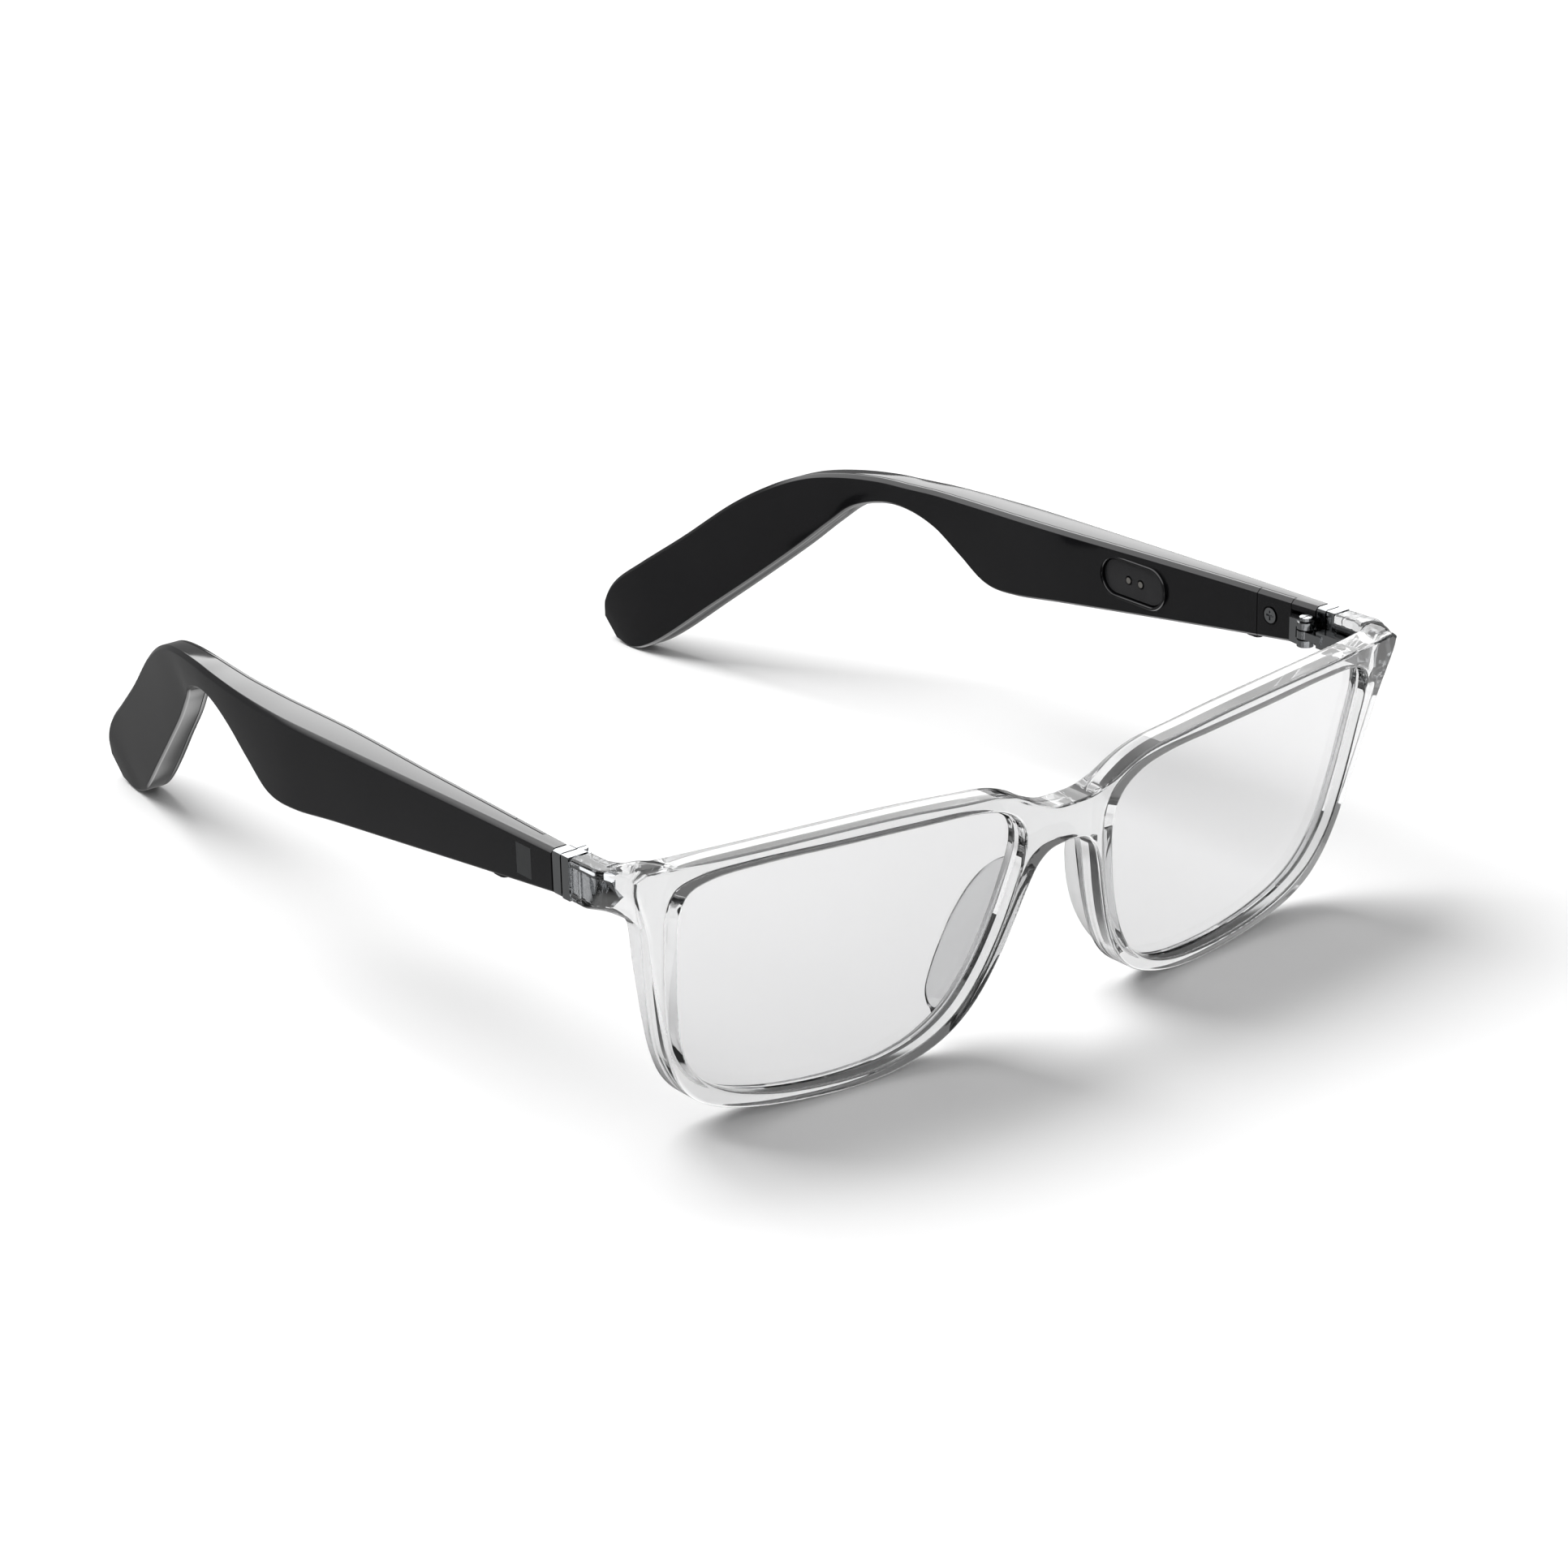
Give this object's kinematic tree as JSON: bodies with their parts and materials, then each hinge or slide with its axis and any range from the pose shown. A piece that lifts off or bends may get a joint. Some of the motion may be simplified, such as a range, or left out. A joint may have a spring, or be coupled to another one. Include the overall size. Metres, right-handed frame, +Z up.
{
  "type": "smart glasses",
  "caption": "Smart glasses with a clear rectangular front, grey gradient lenses and glossy black folding temples with hinges, buttons and charging ports.",
  "frame": {"origin": "under the middle of the object, on the surface that the rim bottoms and the temple tips stand on", "axes": "+Z up, the front faces -Y, the temples run towards +Y, +X is the wearer's left"},
  "size_m": [0.1414, 0.1768, 0.0422],
  "materials": {
    "clear_plastic": "polished crystal clear acetate",
    "tinted_lens": "grey gradient tint, darker at the top, hard coated",
    "gloss_black": "deep polished black",
    "chrome": "dark polished chrome",
    "satin_metal": "satin inlay",
    "port_black": "glossy black with a raised lip",
    "contact_gold": "plated contact",
    "circuit_green": "solder mask",
    "cell_wrap": "laminated foil pouch",
    "driver_black": "moulded module"
  },
  "bodies": {
    "front": {"front_frame": "clear_plastic", "lens_left": "tinted_lens", "lens_right": "tinted_lens", "nose_pad_left": "clear_plastic", "nose_pad_right": "clear_plastic", "hinge_front_leaf_left": "chrome", "hinge_front_leaf_right": "chrome"},
    "temple_left": {"temple_housing_left": "gloss_black", "temple_inner_cover_left": "gloss_black", "hinge_cover_left": "gloss_black", "cover_screw_left": "chrome", "temple_end_plate_left": "chrome", "hinge_temple_leaf_left": "chrome", "hinge_screw_left": "chrome", "charging_port_plate_left": "port_black", "charging_contact_front_left": "contact_gold", "charging_contact_rear_left": "contact_gold", "temple_badge_left": "satin_metal", "circuit_board_left": "circuit_green", "button_switch_left": "driver_black", "battery_left": "cell_wrap", "speaker_left": "driver_black", "microphone_left": "driver_black"},
    "temple_right": {"temple_housing_right": "gloss_black", "temple_inner_cover_right": "gloss_black", "hinge_cover_right": "gloss_black", "cover_screw_right": "chrome", "temple_end_plate_right": "chrome", "hinge_temple_leaf_right": "chrome", "hinge_screw_right": "chrome", "charging_port_plate_right": "port_black", "charging_contact_front_right": "contact_gold", "charging_contact_rear_right": "contact_gold", "temple_badge_right": "satin_metal", "circuit_board_right": "circuit_green", "button_switch_right": "driver_black", "battery_right": "cell_wrap", "speaker_right": "driver_black", "microphone_right": "driver_black"},
    "button_left": {"control_button_left": "gloss_black"},
    "button_right": {"control_button_right": "gloss_black"}
  },
  "joints": [
    {"name": "temple_left_fold", "type": "hinge", "parent": "front", "child": "temple_left", "pos_m": [0.0656, -0.06512, 0.0379], "axis": [0, 0, 1], "range_deg": [0, 86]},
    {"name": "temple_right_fold", "type": "hinge", "parent": "front", "child": "temple_right", "pos_m": [-0.0656, -0.06512, 0.0379], "axis": [0, 0, -1], "range_deg": [0, 73]},
    {"name": "button_left_press", "type": "slide", "parent": "temple_left", "child": "button_left", "axis": [0, 0, 1], "range_m": [0, 0.0003], "stiffness_N_per_m": 300, "springref_m": -0.0005},
    {"name": "button_right_press", "type": "slide", "parent": "temple_right", "child": "button_right", "axis": [0, 0, 1], "range_m": [0, 0.0003], "stiffness_N_per_m": 300, "springref_m": -0.0005}
  ]
}
